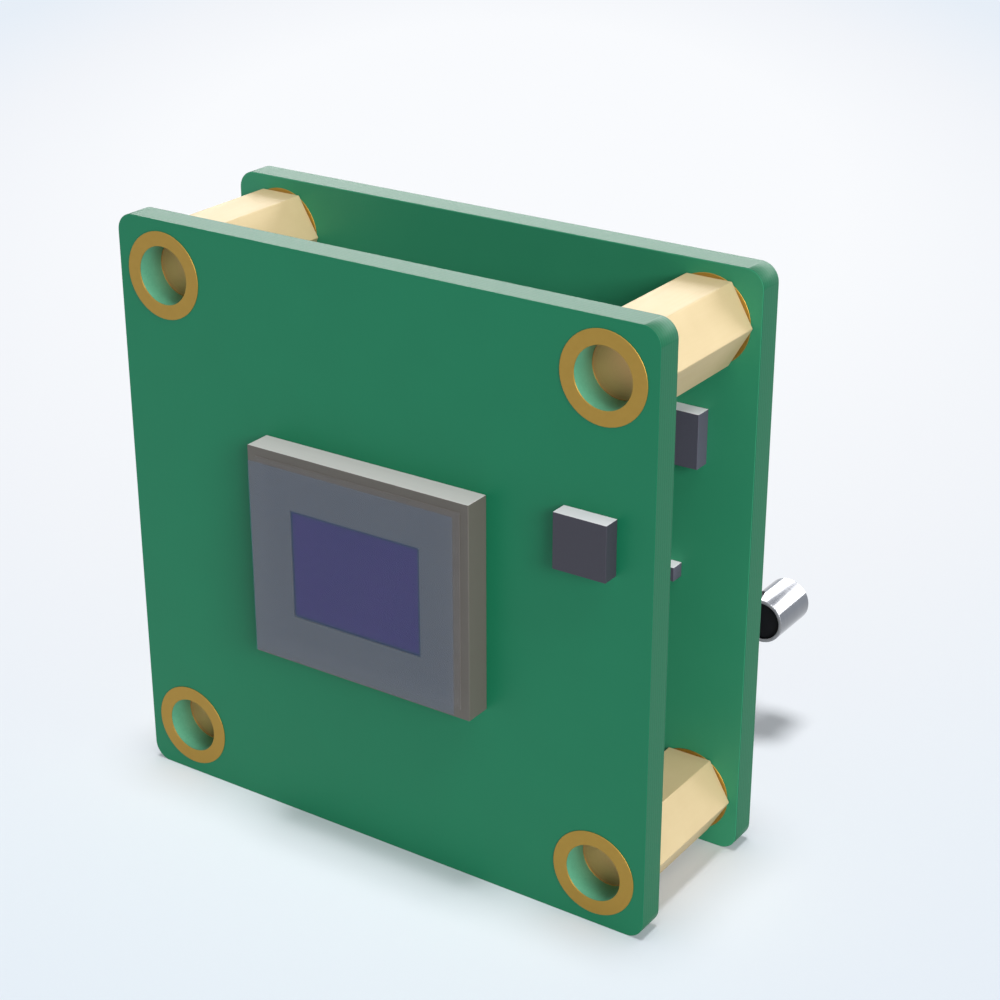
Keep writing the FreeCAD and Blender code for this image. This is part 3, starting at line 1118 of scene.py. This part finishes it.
def glassFilledNylon():
    # glass-filled nylon from a spark-eroded mould: soft black, evenly pitted, with pale
    # fibre flecks
    material, tree, shader, place = newMaterial("glass-filled nylon", {
        "IOR": 1.53,
        "Specular IOR Level": 0.4,
    })
    pits = addNode(tree, "TexNoise", {
        "Scale": patternScale(moulding["pitMm"]),
        "Detail": 5.0,
        "Roughness": 0.6,
    }, {"Vector": place})
    flecks = addNode(tree, "TexVoronoi", {"Scale": patternScale(moulding["fleckMm"])},
                     {"Vector": place})
    fleckMask = addNode(tree, "MapRange", {
        "From Min": 0.05,
        "From Max": 0.25,
        "To Min": 1.0,
        "To Max": 0.0,
    }, {"Value": flecks.outputs["Distance"]})
    tint = addNode(tree, "Mix", twoTones(*moulding["nylon"]), {0: fleckMask.outputs["Result"]})
    texture = addNode(tree, "Bump", {"Strength": 0.45, "Distance": 0.01 * mm},
                      {"Height": pits.outputs["Fac"]})
    rough = addNode(tree, "MapRange", {"To Min": 0.42, "To Max": 0.62},
                    {"Value": pits.outputs["Fac"]})
    connect(tree, shader, tint.outputs[2], rough.outputs["Result"], texture.outputs["Normal"])
    return material


def finishMouldings():
    polymer = liquidCrystalPolymer()
    for name in ("link_plug_housing", "link_socket_housing"):
        dress(softCopy(name, "link_polymer", moulding["linkBreakMm"]), polymer)
    shroud = softCopy("rear_shroud", "shroud_nylon", moulding["shroudBreakMm"])
    dress(shroud, glassFilledNylon())


finishMouldings()
print("mouldings finished")


# Lock sleeves and their inserts

lock = {
    "nickel": ("#868689", "#939396"),
    "faced": ("#8E8E93", "#98989D"),
    "insert": ("#0E0E12", "#17171C"),
    "turningMm": 0.12,
    "facingMm": 0.1,
    "waxMm": 0.2,
    "edgeBreakMm": 0.04,
    "boreRadiusMm": 0.75,
    "threadPitchMm": 0.4,
    "threadDepthMm": 0.1,
    "threadTurns": 4,
    "threadInsetMm": 0.2,
}


def brightNickel():
    # turned sleeve, bright nickel: mirror grey with fine turning lines round it
    material, tree, shader, place = newMaterial("bright nickel plate", {"Metallic": 1.0})
    around = addNode(tree, "Mapping", {"Scale": (0.05, 1.0, 0.05)}, {"Vector": place})
    lines = addNode(tree, "TexNoise", {"Scale": patternScale(lock["turningMm"]), "Detail": 3.0},
                    {"Vector": around.outputs["Vector"]})
    tint = addNode(tree, "Mix", twoTones(*lock["nickel"]), {0: lines.outputs["Fac"]})
    turned = addNode(tree, "Bump", {"Strength": 0.1, "Distance": 0.002 * mm},
                     {"Height": lines.outputs["Fac"]})
    rough = addNode(tree, "MapRange", {"To Min": 0.06, "To Max": 0.14},
                    {"Value": lines.outputs["Fac"]})
    connect(tree, shader, tint.outputs[2], rough.outputs["Result"], turned.outputs["Normal"])
    return material


def facedNickel():
    # the sleeve's turned end: satin grey with a fine grain
    material, tree, shader, place = newMaterial("faced nickel end", {"Metallic": 0.2})
    grain = addNode(tree, "TexNoise", {"Scale": patternScale(lock["facingMm"]), "Detail": 3.0},
                    {"Vector": place})
    tint = addNode(tree, "Mix", twoTones(*lock["faced"]), {0: grain.outputs["Fac"]})
    pits = addNode(tree, "Bump", {"Strength": 0.2, "Distance": 0.003 * mm},
                   {"Height": grain.outputs["Fac"]})
    rough = addNode(tree, "MapRange", {"To Min": 0.4, "To Max": 0.55},
                    {"Value": grain.outputs["Fac"]})
    connect(tree, shader, tint.outputs[2], rough.outputs["Result"], pits.outputs["Normal"])
    return material


def blackNylon():
    # plain nylon plug in the sleeve: black, slightly waxy
    material, tree, shader, place = newMaterial("black nylon", {
        "IOR": 1.53,
        "Specular IOR Level": 0.3,
    })
    grain = addNode(tree, "TexNoise", {"Scale": patternScale(lock["waxMm"]), "Detail": 3.0},
                    {"Vector": place})
    tint = addNode(tree, "Mix", twoTones(*lock["insert"]), {0: grain.outputs["Fac"]})
    wax = addNode(tree, "Bump", {"Strength": 0.2, "Distance": 0.005 * mm},
                  {"Height": grain.outputs["Fac"]})
    rough = addNode(tree, "MapRange", {"To Min": 0.4, "To Max": 0.55},
                    {"Value": grain.outputs["Fac"]})
    connect(tree, shader, tint.outputs[2], rough.outputs["Result"], wax.outputs["Normal"])
    return material


def finishLocks():
    nickel, faced, nylon = brightNickel(), facedNickel(), blackNylon()
    for side in ("left", "right"):
        sleeve = softCopy("lock_sleeve_" + side, "sleeve_nickel", lock["edgeBreakMm"])
        markFaces(dress(sleeve, nickel, faced), looksAlongY)
        dress(softCopy("lock_insert_" + side, "insert_nylon", lock["edgeBreakMm"]), nylon)
        thread = dress(threadRidge("lock_thread_" + side, lock), nylon)
        thread.location = threadPlace(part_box("lock_insert_" + side), lock)
        settle(thread, "insert_nylon")


finishLocks()
print("locks finished")
